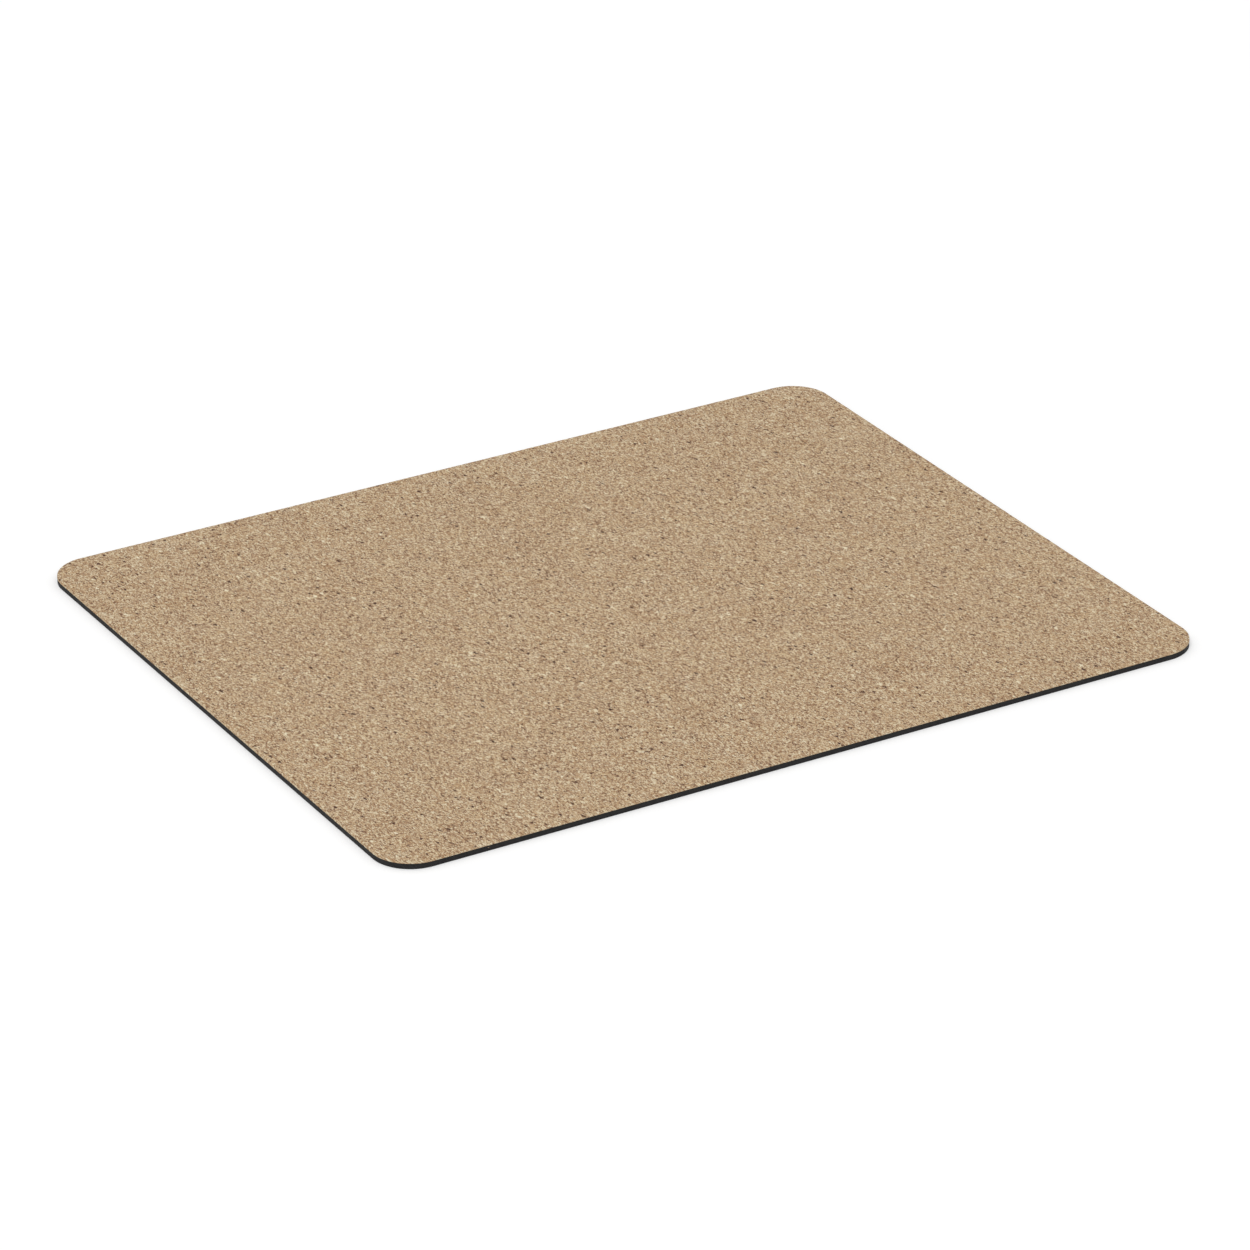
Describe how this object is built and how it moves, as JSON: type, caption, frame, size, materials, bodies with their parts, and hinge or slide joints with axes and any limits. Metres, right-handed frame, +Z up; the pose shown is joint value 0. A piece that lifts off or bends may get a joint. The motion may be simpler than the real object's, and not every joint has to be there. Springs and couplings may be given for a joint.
{
  "type": "mouse pad",
  "caption": "Thin rectangular mouse pad with rounded corners: a fine-grained cork sheet bonded to a dark foam-rubber base that grips the desk.",
  "frame": {"origin": "the middle of the underside, on the desk", "axes": "+X along the long side to the user's right, +Y away from the user, +Z up out of the cork face"},
  "size_m": [0.22, 0.18, 0.002],
  "materials": {
    "foam_rubber": "matte",
    "glue": "satin",
    "cork": "matte"
  },
  "bodies": {
    "root": {"rubber_base": "foam_rubber", "adhesive_film": "glue", "cork_sheet": "cork"}
  },
  "joints": []
}
